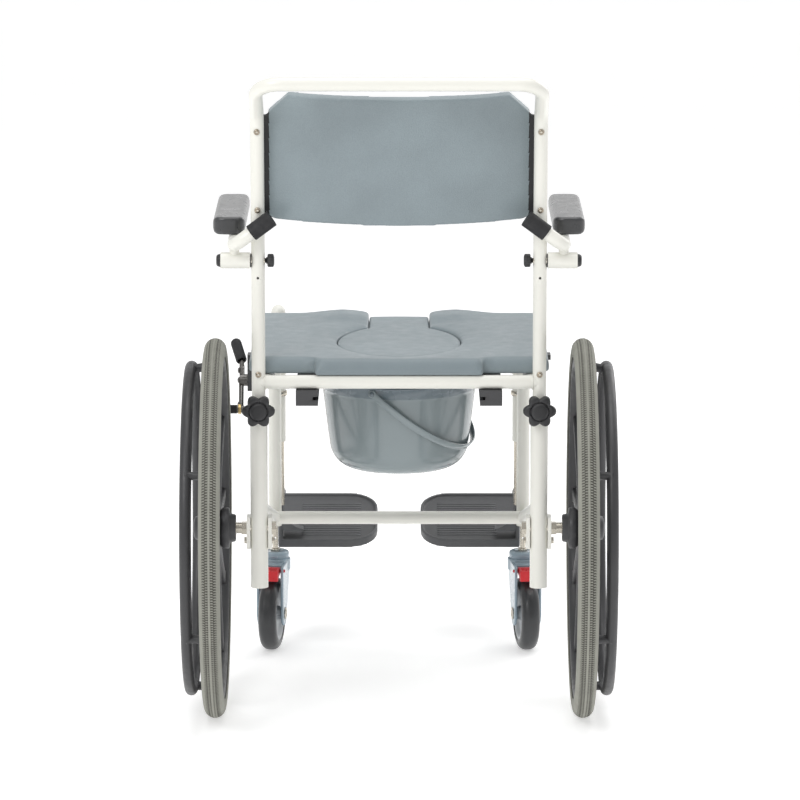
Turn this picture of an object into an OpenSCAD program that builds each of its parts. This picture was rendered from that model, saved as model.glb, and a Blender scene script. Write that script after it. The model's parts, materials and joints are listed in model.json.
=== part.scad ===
// Self-propelled commode chair with lift-up armrests, swing-away footrests and a slide-out pan.
// X runs across the chair, +Y is the way the user faces, Z is up from the floor.
// The origin is on the floor, in the middle of the chair's length and width.

/* [Frame] */
// Outside diameter of the frame tubes
tube_od = 22; // [20:0.5:22]
// Outside diameter of the rear leg tubes
leg_od = 28; // [27:0.5:28.5]
// Distance of each rear leg from the middle
leg_x = 224.5; // [222:0.5:226]
// Distance of each front leg from the middle
front_leg_x = 211; // [208:0.5:213]
// Distance from the rear axle to the front legs
front_leg_y = 485; // [480:1:490]
// Height of the middle of the seat rails
rail_z = 543.5; // [541:0.5:545]
// Height of the lower rails where they meet the front legs
lower_rail_z = 219; // [219:1:226]
// Height of the middle of the push bar
push_bar_z = 1036; // [1018:1:1036]
// How far the push bar sits behind the rear legs
push_bar_back = 118; // [105:1:125]

/* [Seat and back] */
// Thickness of the seat cushion
seat_t = 26; // [24:1:30]
// Width of the seat cushion
seat_w = 482; // [470:1:490]
// Width of the opening in the seat
opening_w = 204; // [190:1:210]
// Width of the narrow front of the opening
neck_w = 102; // [90:1:110]
// Height of the back cushion along its slope
back_h = 206; // [180:1:206]
// Thickness of the back cushion
back_t = 24; // [20:1:28]
// How deep the back cushion curves
back_sag = 45; // [35:1:50]

/* [Armrests] */
// Height of the armrest pivot
arm_pivot_z = 740; // [735:1:745]
// Length of the armrest pads
arm_pad_l = 271; // [250:1:280]
// Width of the armrest pads
arm_pad_w = 52; // [48:1:52]

/* [Rear wheels] */
// Outside diameter of the tyres
tyre_od = 610; // [600:1:614]
// Width of the tyres
tyre_w = 34; // [32:1:34]
// Distance of the middle of each wheel from the middle of the chair
wheel_x = 295; // [294:0.5:297]
// Outside diameter of the push rims
push_rim_od = 533; // [525:1:535]
// Number of spokes in each wheel
spokes = 12; // [10:1:14]

/* [Castors] */
// Outside diameter of the castor wheels
castor_od = 125; // [120:1:125]
// Width of the castor treads
castor_w = 31; // [28:1:31]
// How far each castor trails behind its stem
castor_trail = 38; // [34:1:38]
// Angle of the castors at rest
castor_rest = 8; // [0:1:15]

/* [Footrests] */
// Tilt of the footplates, front edge up
plate_tilt = 19; // [15:1:20]
// Width of each footplate
plate_w = 170; // [150:1:172]
// Length of each footplate along its slope
plate_l = 158; // [140:1:160]

/* [Pan] */
// Outside diameter of the pan's rim
pan_rim_od = 274; // [270:1:274]
// Depth of the pan
pan_depth = 152; // [140:1:156]

/* [Hidden] */
$fn = 64;

cream = "ivory";
soft_grey = "lightslategray";
black = "#2a2a2c";
nickel = "silver";

fit = 0.06;
tube_r = tube_od / 2;
tube_wall = 1.5;
leg_r = leg_od / 2;
leg_bore_r = tube_r + 0.15;
leg_bottom_z = 208;
leg_top_z = 512;
socket_r = 11.5;
socket_l = 60;
knob_z = 500;
stud_r = 4;
clamp_drop = 20;
clamp_bolt_r = 3;
screw_r = 3;
seat_bolt_z = 557;
front_leg_bottom_z = 207;
front_bend_r = 45;
uprights_bottom_z = 430;
spare_hole_z = 713;

// Middle line of each lower rail, which slopes down from the rear leg to the front leg
rail_rear = [leg_x, 0, 341];
rail_front = [front_leg_x, front_leg_y, lower_rail_z];

// The whole chair is drawn with its rear axle at y = 0, then moved to the middle of its length
axle_z = tyre_od / 2;
plate_rear_y = 532;
plate_rear_z = 158;
plate_t = 16;
front_end_y = plate_rear_y + plate_l * cos(plate_tilt);
axle_y = (tyre_od / 2 - front_end_y) / 2;

// Lean of the back above this height
lean_z = 770;
lean_top_z = 975;
lean_top_y = -26;
lean = atan(-lean_top_y / (lean_top_z - lean_z));
back_low = 35;
back_half_w = 207;
back_cut = 32;
screw_heights = [55, 183];

// Wheel
rim_r = 274.5;
rim_in_r = 262;
rim_w = 28;
hub_r = 22;
hub_in_x = 262;
hub_out_x = 318;
axle_r = 6;
bearing_r = 14;
bearing_w = 9;
push_tube_r = 9.5;
push_r = push_rim_od / 2 - push_tube_r;
push_x = 333;
lugs = 6;

// Armrest
arm_tube_x = 262;
arm_tube_z = 768;
arm_sleeve_r = 13;
arm_sleeve_in = 237;
arm_sleeve_out = 284;
arm_bolt_r = 6;
arm_stop_y = -(tube_r + 13.5 + 7.5);
arm_stop_x = 205;
arm_stop_z = 810;
arm_pad_x = 271;
arm_pad_y = 13;
arm_pad_t = 28;

// Brake
brake_y = 300;
brake_z = 492;
brake_pin_r = 4;
shoe_r = 7;
shoe_z = 447;
shoe_gap = 0.4;
shoe_y = sqrt(pow(tyre_od / 2 + shoe_r + shoe_gap, 2) - pow(shoe_z - axle_z, 2));
clamp_in_x = 241;
clamp_out_x = 251;
lever_x = clamp_out_x + 9.5;
grip_low = [lever_x + 1, brake_y + 24, brake_z + 28];
grip_high = [lever_x + 13, brake_y + 56, brake_z + 58];
grip_dir = (grip_high - grip_low) / norm(grip_high - grip_low);

// Castor
castor_r = castor_od / 2;
fork_top_z = 163;
fork_in = castor_w / 2 + 2.5;
fork_out = fork_in + 5;
king_r = 5;
stem_r = 9.5;
pedal_pin = [-52, 139];

// Footrest
hanger_x = 205;
hanger_y = 515;
hanger_r = 12;
hanger_bottom_z = 348;
hanger_top_z = 569;
left_post_extra = 14;
inner_r = 9.5;
collar_z = [466, 498];
collar_h = 16;
inner_bottom_z = 237;
inner_top_z = 388;
hinge_z = 250;
hinge_pin_r = 5;

// Seat
seat_z = rail_z + tube_r + 0.5;
seat_rear_y = 10;
seat_front_y = 458;
seat_tab_w = 268;
opening_rear_y = 50;
opening_l = 303;
ledge = 6;
ledge_t = 6;

// Pan
pan_y = 200;
pan_rim_z = 516.5;
pan_rim_t = 4;
pan_body_r = 128;
pan_wall = 3;
pan_rail_in = 129.5;
pan_rail_out = 165;
pan_rail_low = 507;
pan_rail_high = 532;
handle_pivot_z = 509.5;
handle_a = 133;
handle_b = 156;
handle_turn = 71;
handle_drop = 38;

function unit(v) = v / norm(v);
function turn_of(pts, i) = acos(unit(pts[i] - pts[i - 1]) * unit(pts[i + 1] - pts[i]));
function trim_of(pts, radii, i) = radii[i] * tan(turn_of(pts, i) / 2);
function arc(c, r, a0, a1, n = 12) =
    [for (i = [0 : n]) let (a = a0 + (a1 - a0) * i / n) [c.x + r * cos(a), c.y + r * sin(a)]];

module set_on_origin() {
    translate([0, axle_y, 0]) children();
}

// Everything with a side is drawn on the right and mirrored for the left
module on_side(side) {
    set_on_origin() mirror([side < 0 ? 1 : 0, 0, 0]) children();
}

module both_sides() {
    on_side(1) children();
    on_side(-1) children();
}

module along(a, b) {
    d = b - a;
    translate(a) rotate([0, acos(d.z / norm(d)), atan2(d.y, d.x)]) children();
}

module rod(a, b, r) {
    along(a, b) cylinder(h = norm(b - a), r = r);
}

module across(x0, x1, y, z, r) {
    translate([x0, y, z]) rotate([0, 90, 0]) cylinder(h = x1 - x0, r = r);
}

module ring(r, wall) {
    difference() {
        circle(r);
        circle(r - wall);
    }
}

// A tube that follows straight stretches joined by round bends; radii[i] is the bend at pts[i].
// Each straight laps a little way into the bend, which is a hair thicker.
module bent_tube(pts, radii, r, wall) {
    last = len(pts) - 1;
    lap = 1;
    swell = 0.05;
    for (i = [0 : last - 1]) {
        d = unit(pts[i + 1] - pts[i]);
        a = pts[i] + d * (i == 0 ? 0 : trim_of(pts, radii, i) - lap);
        b = pts[i + 1] - d * (i == last - 1 ? 0 : trim_of(pts, radii, i + 1) - lap);
        along(a, b) linear_extrude(norm(b - a)) ring(r, wall);
    }
    for (i = [1 : last - 1]) tube_bend(pts, radii, i) ring(r + swell, wall + 2 * swell);
}

module tube_bend(pts, radii, i) {
    d = unit(pts[i] - pts[i - 1]);
    n = unit(cross(d, pts[i + 1] - pts[i]));
    m = cross(n, d);
    c = pts[i] - d * trim_of(pts, radii, i) + m * radii[i];
    multmatrix([[-m.x, d.x, n.x, c.x], [-m.y, d.y, n.y, c.y], [-m.z, d.z, n.z, c.z]])
        rotate_extrude(angle = turn_of(pts, i)) translate([radii[i], 0]) children();
}

// Point of the lower rail's middle line at this distance from the rear axle
function on_rail(y) = rail_rear + (rail_front - rail_rear) * y / front_leg_y;

// Upright's own frame above the lean: its middle line is the local Z axis
module leaned() {
    translate([0, 0, lean_z]) rotate([lean, 0, 0]) children();
}

module hex_nut(x0, x1, y, z, across_flats) {
    translate([x0, y, z]) rotate([0, 90, 0]) rotate(30)
        cylinder(h = x1 - x0, d = across_flats / cos(30), $fn = 6);
}

// ---- frame ----

// Open at the bottom, where an anti-tipper pushes in
module rear_leg(side) {
    color(cream) on_side(side) difference() {
        translate([leg_x, 0, leg_bottom_z])
            linear_extrude(leg_top_z - leg_bottom_z) ring(leg_r, leg_r - leg_bore_r);
        translate([leg_x, 0, leg_bottom_z - 1]) cylinder(h = socket_l + 1, r = socket_r);
        across(leg_x - leg_od, leg_x + leg_od, 0, axle_z, axle_r + fit);
        across(leg_x - leg_od, leg_x + leg_od, 0, axle_z - clamp_drop, clamp_bolt_r);
        rod([leg_x, -leg_od, knob_z], [leg_x, 0, knob_z], stud_r + fit);
    }
}

// Front leg and seat rail in one bent tube, with the collars that carry the swing-away post
module side_tube(side) {
    pts = [[front_leg_x, front_leg_y, front_leg_bottom_z],
           [front_leg_x, front_leg_y, rail_z], [front_leg_x, 0, rail_z]];
    color(cream) on_side(side) {
        difference() {
            bent_tube(pts, [0, front_bend_r, 0], tube_r, tube_wall);
            translate([leg_x, 0, rail_z - 40]) cylinder(h = 80, r = tube_r);
            across(0, leg_x, 0, rail_z, tube_r);
        }
        difference() {
            for (z = collar_z) {
                translate([hanger_x, hanger_y, z]) cylinder(h = collar_h, r = hanger_r + 4);
                rod([front_leg_x, front_leg_y, z + collar_h / 2],
                    [hanger_x, hanger_y, z + collar_h / 2], 6);
            }
            translate([hanger_x, hanger_y, collar_z[0] - 1]) cylinder(h = 60, r = hanger_r + fit);
            translate([front_leg_x, front_leg_y, collar_z[0] - 1]) cylinder(h = 60, r = tube_r - 0.5);
        }
    }
}

module lower_rail(side) {
    color(cream) on_side(side) difference() {
        along(rail_rear, rail_front)
            linear_extrude(norm(rail_front - rail_rear)) ring(tube_r, tube_wall);
        translate([leg_x, 0, rail_rear.z - 40]) cylinder(h = 80, r = leg_r);
        translate([front_leg_x, front_leg_y, leg_bottom_z - 10]) cylinder(h = 60, r = tube_r);
    }
}

module rear_cross_tube() {
    color(cream) set_on_origin() difference() {
        along([-leg_x, 0, rail_z], [leg_x, 0, rail_z])
            linear_extrude(2 * leg_x) ring(tube_r, tube_wall);
        for (s = [-1, 1]) translate([s * leg_x, 0, rail_z - 20]) cylinder(h = 40, r = tube_r);
    }
}

// One tube runs under the front ends of the pan rails, the other between the lower rails
module front_cross_tubes() {
    upper_front_tube();
    lower_front_tube();
}

module upper_front_tube() {
    z = pan_rail_low - tube_r;
    color(cream) set_on_origin() difference() {
        along([-front_leg_x, front_leg_y, z], [front_leg_x, front_leg_y, z])
            linear_extrude(2 * front_leg_x) ring(tube_r, tube_wall);
        for (s = [-1, 1]) {
            translate([s * front_leg_x, front_leg_y, z - 40]) cylinder(h = 80, r = tube_r);
        }
    }
}

module lower_front_tube() {
    y = front_leg_y - 30;
    p = on_rail(y);
    color(cream) set_on_origin() difference() {
        along([-p.x, y, p.z], [p.x, y, p.z]) linear_extrude(2 * p.x) ring(tube_r, tube_wall);
        for (s = [-1, 1]) mirror([s < 0 ? 1 : 0, 0, 0]) rod(on_rail(y - 30), on_rail(y + 30), tube_r);
    }
}

module back_frame() {
    side_pts = [[0, 0, uprights_bottom_z], [0, 0, lean_z], [0, lean_top_y, lean_top_z],
                [0, -push_bar_back, push_bar_z]];
    left = [for (p = side_pts) p + [-leg_x, 0, 0]];
    right = [for (i = [3 : -1 : 0]) side_pts[i] + [leg_x, 0, 0]];
    color(cream) set_on_origin() difference() {
        bent_tube(concat(left, right), [0, 150, 50, 38, 38, 50, 150, 0], tube_r, tube_wall);
        for (s = [-1, 1]) {
            across(s * leg_x - tube_od, s * leg_x + tube_od, 0, arm_pivot_z, arm_bolt_r + fit);
            rod([s * leg_x, -tube_od, spare_hole_z], [s * leg_x, 0, spare_hole_z], 2);
            rod([s * leg_x, -tube_od, seat_bolt_z], [s * leg_x, 0, seat_bolt_z], screw_r);
            leaned() for (h = screw_heights) {
                rod([s * leg_x, -tube_od, h], [s * leg_x, tube_od, h], screw_r);
            }
        }
    }
}

module wheel_bracket(side) {
    gap = leg_r + 0.2;
    wall = 6;
    color(cream) on_side(side) difference() {
        translate([leg_x - gap - wall, -10, axle_z - 33])
            cube([2 * (gap + wall), 32, 51]);
        translate([leg_x, 0, axle_z - 40]) cylinder(h = 70, r = gap);
        translate([leg_x - gap, -20, axle_z - 40]) cube([2 * gap, 20, 70]);
        across(leg_x - leg_od, leg_x + leg_od, 0, axle_z, axle_r + fit);
        across(leg_x - leg_od, leg_x + leg_od, 0, axle_z - clamp_drop, clamp_bolt_r);
    }
}

module axle_bolts() {
    inner = leg_x - leg_r - 6.2;
    outer = leg_x + leg_r + 6.2;
    color(nickel) both_sides() {
        across(inner, hub_out_x + 3, 0, axle_z, axle_r);
        hex_nut(inner - 7, inner, 0, axle_z, 19);
        hex_nut(outer, outer + 8, 0, axle_z, 19);
        across(outer + 8, hub_in_x - 0.4, 0, axle_z, 9);
        across(hub_out_x + 0.4, hub_out_x + 3, 0, axle_z, 10);
        hex_nut(hub_out_x + 3, hub_out_x + 9, 0, axle_z, 17);
        across(inner, outer, 0, axle_z - clamp_drop, clamp_bolt_r - fit);
        hex_nut(outer, outer + 4, 0, axle_z - clamp_drop, 10);
        hex_nut(inner - 4, inner, 0, axle_z - clamp_drop, 10);
    }
}

// Channel that the pan's rim slides in, open towards the middle and at the rear.
// A hollow runs along it behind its closed rear end.
module pan_rail(side) {
    slot_in = pan_rim_od / 2 + 1;
    slot_l = pan_y + 46 + 14;
    rear = -14;
    front = front_leg_y;
    end_wall = 6;
    color(black) on_side(side) difference() {
        translate([pan_rail_in, rear, pan_rail_low])
            cube([pan_rail_out - pan_rail_in, front - rear, pan_rail_high - pan_rail_low]);
        translate([pan_rail_in - 1, rear - 1, pan_rim_z - 0.5])
            cube([slot_in - pan_rail_in + 1, slot_l + 1, pan_rim_t + 1.5]);
        translate([slot_in + 4, rear + end_wall, pan_rail_low + 4])
            cube([pan_rail_out - slot_in - 8, front - rear, pan_rail_high - pan_rail_low - 8]);
    }
}

module clamp_ring() {
    difference() {
        union() {
            rod([front_leg_x, brake_y - 14, rail_z], [front_leg_x, brake_y + 14, rail_z],
                tube_r + 4);
            translate([front_leg_x, brake_y - 14, rail_z - tube_r - 4])
                cube([clamp_out_x - front_leg_x, 28, 8]);
        }
        rod([front_leg_x, brake_y - 30, rail_z], [front_leg_x, brake_y + 30, rail_z], tube_r);
        // Cut level below the seat cushion
        translate([front_leg_x - 30, brake_y - 30, rail_z + 5]) cube([60, 60, 30]);
    }
}

// The left clamp carries the brake lever; the right one is the bare clamp
module brake_clamp() {
    plate_low_z = 476;
    color(black) {
        on_side(-1) {
            clamp_ring();
            difference() {
                translate([clamp_in_x, brake_y - 14, plate_low_z])
                    cube([clamp_out_x - clamp_in_x, 28, rail_z - tube_r - 4 - plate_low_z]);
                across(clamp_in_x - 1, clamp_out_x + 1, brake_y, brake_z, brake_pin_r + fit);
            }
        }
        on_side(1) clamp_ring();
    }
}

// Corner-cut outline of the back cushion, standing on its lower edge
module back_outline() {
    cut = back_cut;
    corner = 12;
    polygon(concat(
        arc([-back_half_w + corner, corner], corner, 180, 270),
        arc([back_half_w - corner, corner], corner, 270, 360),
        [[back_half_w, back_h - cut], [back_half_w - cut, back_h]],
        [[-back_half_w + cut, back_h], [-back_half_w, back_h - cut]]));
}

module back_pad() {
    curve_r = (pow(back_half_w, 2) + pow(back_sag, 2)) / (2 * back_sag);
    side_y = tube_r + 1;
    centre_y = side_y - back_sag + curve_r;
    color(soft_grey) set_on_origin() leaned() {
        intersection() {
            translate([0, 200, back_low]) rotate([90, 0, 0]) linear_extrude(400) back_outline();
            translate([0, centre_y, 0]) difference() {
                cylinder(h = 300, r = curve_r, $fn = 180);
                translate([0, 0, -1]) cylinder(h = 302, r = curve_r - back_t, $fn = 180);
            }
        }
        // Flange down each side, screwed to the upright
        for (s = [-1, 1]) difference() {
            translate([s * (back_half_w + 8) - 16, side_y, back_low + 2])
                cube([32, 8, back_h - back_cut - 6]);
            for (h = screw_heights) rod([s * leg_x, 0, h], [s * leg_x, 40, h], screw_r);
        }
    }
}

// Round-headed screw in the back of an upright
module screw(z, end_y) {
    head_y = -tube_r - 2.2;
    rod([leg_x, head_y + 1, z], [leg_x, end_y, z], screw_r - fit);
    rod([leg_x, head_y, z], [leg_x, -tube_r, z], 4.5);
}

module frame_screws() {
    color(nickel) both_sides() {
        leaned() for (h = screw_heights) screw(h, tube_r + 8);
        screw(seat_bolt_z, 4);
    }
}

// ---- seat ----

module seat_outline() {
    r = 30;
    half = seat_w / 2;
    polygon(concat(
        arc([-half + r, seat_rear_y + r], r, 180, 270),
        arc([half - r, seat_rear_y + r], r, 270, 360),
        arc([half - r, seat_front_y - r], r, 0, 90),
        arc([-half + r, seat_front_y - r], r, 90, 180)));
    // Rear tab that reaches over the rear cross tube
    translate([-seat_tab_w / 2, -8]) square([seat_tab_w, 60]);
}

// Oval hole with a straight neck that runs out through the front edge
module opening_outline(inset, front_y) {
    a = opening_w / 2 - inset;
    b = opening_l / 2 - inset;
    translate([0, opening_rear_y + opening_l / 2])
        polygon([for (t = [0 : 5 : 355]) [a * cos(t), b * sin(t)]]);
    translate([-neck_w / 2 + inset, opening_rear_y + opening_l - 60])
        square([neck_w - 2 * inset, front_y - opening_rear_y - opening_l + 60]);
}

module seat_pad() {
    color(soft_grey) set_on_origin() translate([0, 0, seat_z]) difference() {
        linear_extrude(seat_t) seat_outline();
        translate([0, 0, -1]) linear_extrude(seat_t + 2) opening_outline(ledge, seat_front_y + 1);
        translate([0, 0, ledge_t]) linear_extrude(seat_t) opening_outline(0, seat_front_y + 1);
    }
}

module seat_insert() {
    gap = 1.2;
    color(soft_grey) set_on_origin() translate([0, 0, seat_z + ledge_t + 0.4]) {
        linear_extrude(seat_t - ledge_t - 4) opening_outline(gap, seat_front_y - 12);
    }
}

// ---- pan ----

// Outline of one half of the pan from its middle to the edge of its rim
function pan_side(drop, shrink) =
    concat([[0, drop]],
        arc([pan_body_r * 0.89 - 42, drop + 42 - shrink], 42 - shrink, 270, 354, 12),
        [[pan_body_r - shrink, pan_depth]]);

module pan() {
    floor_z = pan_rim_z + pan_rim_t - pan_depth;
    outer = pan_side(0, 0);
    inner = pan_side(pan_wall, pan_wall);
    color(soft_grey) set_on_origin() translate([0, pan_y, floor_z]) {
        rotate_extrude($fn = 96) difference() {
            polygon(concat(outer, [[0, pan_depth]]));
            polygon(concat(inner, [[pan_body_r - pan_wall, pan_depth + 1], [0, pan_depth + 1]]));
        }
        translate([0, 0, pan_depth - pan_rim_t]) linear_extrude(pan_rim_t) difference() {
            circle(d = pan_rim_od, $fn = 96);
            circle(r = pan_body_r - 0.5, $fn = 96);
        }
    }
    // Pins that the strap handle turns on
    color(soft_grey) handle_frame() for (s = [-1, 1]) {
        rod([s * (pan_body_r - 2), 0, 0], [s * (handle_a + 3), 0, 0], 2.5);
    }
}

// Frame with its origin in the middle of the pan at the handle's pivots and X through both pivots
module handle_frame() {
    set_on_origin() translate([0, pan_y, handle_pivot_z]) rotate(handle_turn) children();
}

module pan_handle() {
    strap_t = 3;
    strap_w = 11;
    steps = 40;
    eye_r = 5.5;
    path = [for (i = [0 : steps]) let (t = 180 * i / steps) [handle_a * cos(t), -handle_b * sin(t)]];
    outer = [for (p = path) p * (1 + strap_t / 2 / handle_a)];
    inner = [for (i = [steps : -1 : 0]) path[i] * (1 - strap_t / 2 / handle_a)];
    color(soft_grey) handle_frame() rotate([handle_drop, 0, 0]) difference() {
        union() {
            translate([0, 0, -strap_w / 2]) linear_extrude(strap_w) polygon(concat(outer, inner));
            for (s = [-1, 1]) {
                rod([s * (handle_a - strap_t / 2), 0, 0], [s * (handle_a + strap_t / 2), 0, 0], eye_r);
            }
        }
        rod([-handle_a - 9, 0, 0], [handle_a + 9, 0, 0], 2.5 + fit);
    }
}

// ---- knobs ----

module star_knob(side) {
    lobe_r = 7.5;
    ring_r = 19;
    hub_r = 17;
    back_y = -leg_r - 0.5;
    stud_l = leg_r - leg_bore_r + 0.2;
    color(black) on_side(side) translate([leg_x, back_y, knob_z]) rotate([90, 0, 0]) {
        cylinder(h = 16, r = hub_r);
        for (i = [0 : 5]) rotate(60 * i) translate([ring_r, 0, 0]) cylinder(h = 16, r = lobe_r);
        cylinder(h = 20, r = 14);
        translate([0, 0, -stud_l]) cylinder(h = stud_l + 2, r = stud_r);
    }
}

module armrest_knob(side) {
    face_x = leg_x - tube_r - 4;
    color(black) on_side(side) {
        across(face_x - 11, face_x, 0, arm_pivot_z, 10.5);
        across(face_x - 1, leg_x, 0, arm_pivot_z, stud_r);
    }
}

module armrest_pivot_bolts() {
    color(nickel) both_sides() difference() {
        across(leg_x - tube_r, arm_sleeve_out, 0, arm_pivot_z, arm_bolt_r);
        across(leg_x - tube_od, leg_x + 3, 0, arm_pivot_z, stud_r + fit);
    }
}

module armrest_pivot_caps() {
    color(black) both_sides() {
        translate([arm_sleeve_out + 0.4, 0, arm_pivot_z]) rotate([0, 90, 0]) rotate_extrude()
            polygon(concat([[0, 0], [11, 0]], arc([5.5, 2], 4.5, 0, 90, 8), [[0, 6.5]]));
        difference() {
            across(leg_x + tube_r, arm_sleeve_in - 0.4, 0, arm_pivot_z, 11);
            across(leg_x, arm_sleeve_in, 0, arm_pivot_z, arm_bolt_r);
        }
    }
}

// ---- armrests ----

module armrest_tube(side) {
    pts = [[arm_stop_x, arm_stop_y, arm_stop_z], [arm_tube_x, arm_stop_y, arm_tube_z],
           [arm_tube_x, arm_pad_y + arm_pad_l - 20, arm_tube_z]];
    color(cream) on_side(side) {
        bent_tube(pts, [0, 20, 0], tube_r, tube_wall);
        difference() {
            across(arm_sleeve_in, arm_sleeve_out, 0, arm_pivot_z, arm_sleeve_r);
            across(arm_sleeve_in - 1, arm_sleeve_out + 1, 0, arm_pivot_z, arm_bolt_r + fit);
        }
        difference() {
            translate([arm_tube_x, 0, arm_pivot_z]) cylinder(h = arm_tube_z - arm_pivot_z, r = 8);
            across(arm_sleeve_in, arm_sleeve_out, 0, arm_pivot_z, arm_sleeve_r - 1);
            rod([arm_tube_x, -20, arm_tube_z], [arm_tube_x, 20, arm_tube_z], tube_r - 1);
        }
    }
}

module armrest_pad(side) {
    z0 = arm_tube_z + tube_r;
    half = arm_pad_w / 2;
    corner = 9;
    end_r = 18;
    color(black) on_side(side) translate([arm_pad_x, arm_pad_y, z0]) intersection() {
        translate([0, arm_pad_l, 0]) rotate([90, 0, 0]) linear_extrude(arm_pad_l) polygon(concat(
            arc([-half + corner, corner], corner, 180, 270, 8),
            arc([half - corner, corner], corner, 270, 360, 8),
            arc([half - corner, arm_pad_t - corner], corner, 0, 90, 8),
            arc([-half + corner, arm_pad_t - corner], corner, 90, 180, 8)));
        linear_extrude(arm_pad_t) polygon(concat(
            arc([-half + end_r, end_r], end_r, 180, 270, 8),
            arc([half - end_r, end_r], end_r, 270, 360, 8),
            arc([half - end_r, arm_pad_l - end_r], end_r, 0, 90, 8),
            arc([-half + end_r, arm_pad_l - end_r], end_r, 90, 180, 8)));
    }
}

// Rubber sleeve on the tube's end that rests on the back of the upright
module armrest_stop(side) {
    a = [arm_stop_x, arm_stop_y, arm_stop_z];
    d = unit([arm_tube_x - arm_stop_x, 0, arm_tube_z - arm_stop_z]);
    color(black) on_side(side) difference() {
        rod(a - 4 * d, a + 36 * d, 13.5);
        rod(a, a + 40 * d, tube_r);
    }
}

// ---- brake ----

// Bar from the grip down to the pivot, and the arm from the pivot down to the shoe
module brake_lever() {
    color(nickel) on_side(-1) {
        across(clamp_in_x - 1, lever_x + 4, brake_y, brake_z, brake_pin_r);
        across(clamp_out_x + 0.4, lever_x + 4, brake_y, brake_z, 10);
        rod([lever_x, brake_y, brake_z], grip_low, 4);
        rod(grip_low - 4 * grip_dir, grip_low + 18 * grip_dir, 3.8);
        rod([lever_x, brake_y, brake_z], [lever_x, shoe_y, shoe_z], 3);
        across(lever_x - 4, lever_x + 5, shoe_y, shoe_z, 6);
        across(lever_x + 4, wheel_x + tyre_w / 2, shoe_y, shoe_z, shoe_r);
    }
}

module brake_grip() {
    l = norm(grip_high - grip_low);
    r = 9;
    bore = 3.8;
    color(black) on_side(-1) along(grip_low, grip_high) rotate_extrude() polygon(concat(
        [[0, 18], [bore, 18], [bore, 0], [r - 1, 0], [r, 1]],
        arc([r - 6, l - 6], 6, 0, 90), [[0, l]]));
}

// ---- rear wheels ----

// The wheel is one moulding: its rim here, its hub and spokes below
module wheel_rim(side) {
    color(black) on_side(side) translate([wheel_x - rim_w / 2, 0, axle_z]) rotate([0, 90, 0])
        linear_extrude(rim_w) ring(rim_r, rim_r - rim_in_r);
}

module wheel_spokes(side) {
    spoke_in = hub_r - 3;
    spoke_w = 16;
    color(black) on_side(side) translate([0, 0, axle_z]) difference() {
        union() {
            across(hub_in_x, hub_out_x, 0, 0, hub_r);
            across(hub_in_x + 10, hub_in_x + 22, 0, 0, 32);
            intersection() {
                across(wheel_x - spoke_w / 2, wheel_x + spoke_w / 2, 0, 0, rim_in_r);
                for (i = [0 : spokes - 1]) rotate([360 / spokes * i, 0, 0])
                    translate([wheel_x - spoke_w, -7, spoke_in]) cube([2 * spoke_w, 14, rim_in_r]);
            }
        }
        across(hub_in_x - 1, hub_out_x + 1, 0, 0, axle_r + 3);
        across(hub_in_x - 1, hub_in_x + bearing_w, 0, 0, bearing_r);
        across(hub_out_x - bearing_w, hub_out_x + 1, 0, 0, bearing_r);
    }
}

module hub_bearings(side) {
    color(nickel) on_side(side) difference() {
        union() {
            across(hub_in_x, hub_in_x + bearing_w, 0, axle_z, bearing_r);
            across(hub_out_x - bearing_w, hub_out_x, 0, axle_z, bearing_r);
        }
        across(hub_in_x - 1, hub_out_x + 1, 0, axle_z, axle_r + fit);
    }
}

module tyre(side) {
    r = tyre_w / 2;
    color("#97978d") on_side(side) translate([wheel_x, 0, axle_z]) rotate([0, 90, 0])
        rotate_extrude($fn = 128) difference() {
            translate([tyre_od / 2 - r, 0]) circle(r);
            translate([0, -r - 1]) square([rim_r, 2 * r + 2]);
        }
}

module push_rim(side) {
    face_x = wheel_x + rim_w / 2;
    color(black) on_side(side) translate([0, 0, axle_z]) {
        translate([push_x, 0, 0]) rotate([0, 90, 0])
            rotate_extrude($fn = 128) translate([push_r, 0]) ring(push_tube_r, 2);
        for (i = [0 : lugs - 1]) rotate([360 / lugs * i, 0, 0]) {
            difference() {
                translate([face_x, -8, push_r - 4]) cube([push_x - face_x - 4, 16, 16]);
                translate([push_x, 0, 0]) rotate([0, 90, 0])
                    rotate_extrude($fn = 128) translate([push_r, 0]) circle(push_tube_r - 1);
            }
        }
    }
}

// ---- castors ----

// Castor's own frame: stem on the Z axis, trailing towards -Y
module castor_frame(side) {
    on_side(side) translate([front_leg_x, front_leg_y, 0]) rotate(castor_rest) children();
}

module castor_stems() {
    color(nickel) both_sides() translate([front_leg_x, front_leg_y, 0]) difference() {
        union() {
            translate([0, 0, front_leg_bottom_z]) cylinder(h = 48, r = stem_r);
            translate([0, 0, 140]) cylinder(h = front_leg_bottom_z - 138, r = king_r);
            translate([0, 0, fork_top_z + 0.5]) cylinder(h = 4, r = 8);
        }
        rod([0, -20, 185], [0, 20, 185], 1.8);
    }
}

module castor_fork(side) {
    top = fork_top_z;
    color("#9fb0ba") castor_frame(side) difference() {
        union() {
            translate([0, 0, top - 14]) cylinder(h = 14, r = 21);
            translate([0, 0, 131]) cylinder(h = 20, r = 26);
            translate([-fork_out, -34, 131]) cube([2 * fork_out, 34, 14]);
            for (s = [-1, 1]) {
                translate([s * (fork_in + fork_out) / 2, 0, 0]) rotate([90, 0, 90])
                    linear_extrude(fork_out - fork_in, center = true) hull() {
                        translate([-castor_trail, castor_r]) circle(21);
                        translate(pedal_pin) circle(8);
                        translate([10, 141]) circle(8);
                    }
            }
            across(-fork_out + 2, fork_out - 2, -castor_trail, castor_r, 4);
        }
        translate([0, 0, 120]) cylinder(h = 60, r = king_r + fit);
        across(-fork_out - 1, fork_out + 1, pedal_pin.x, pedal_pin.y, 2.5 + fit);
    }
}

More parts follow.
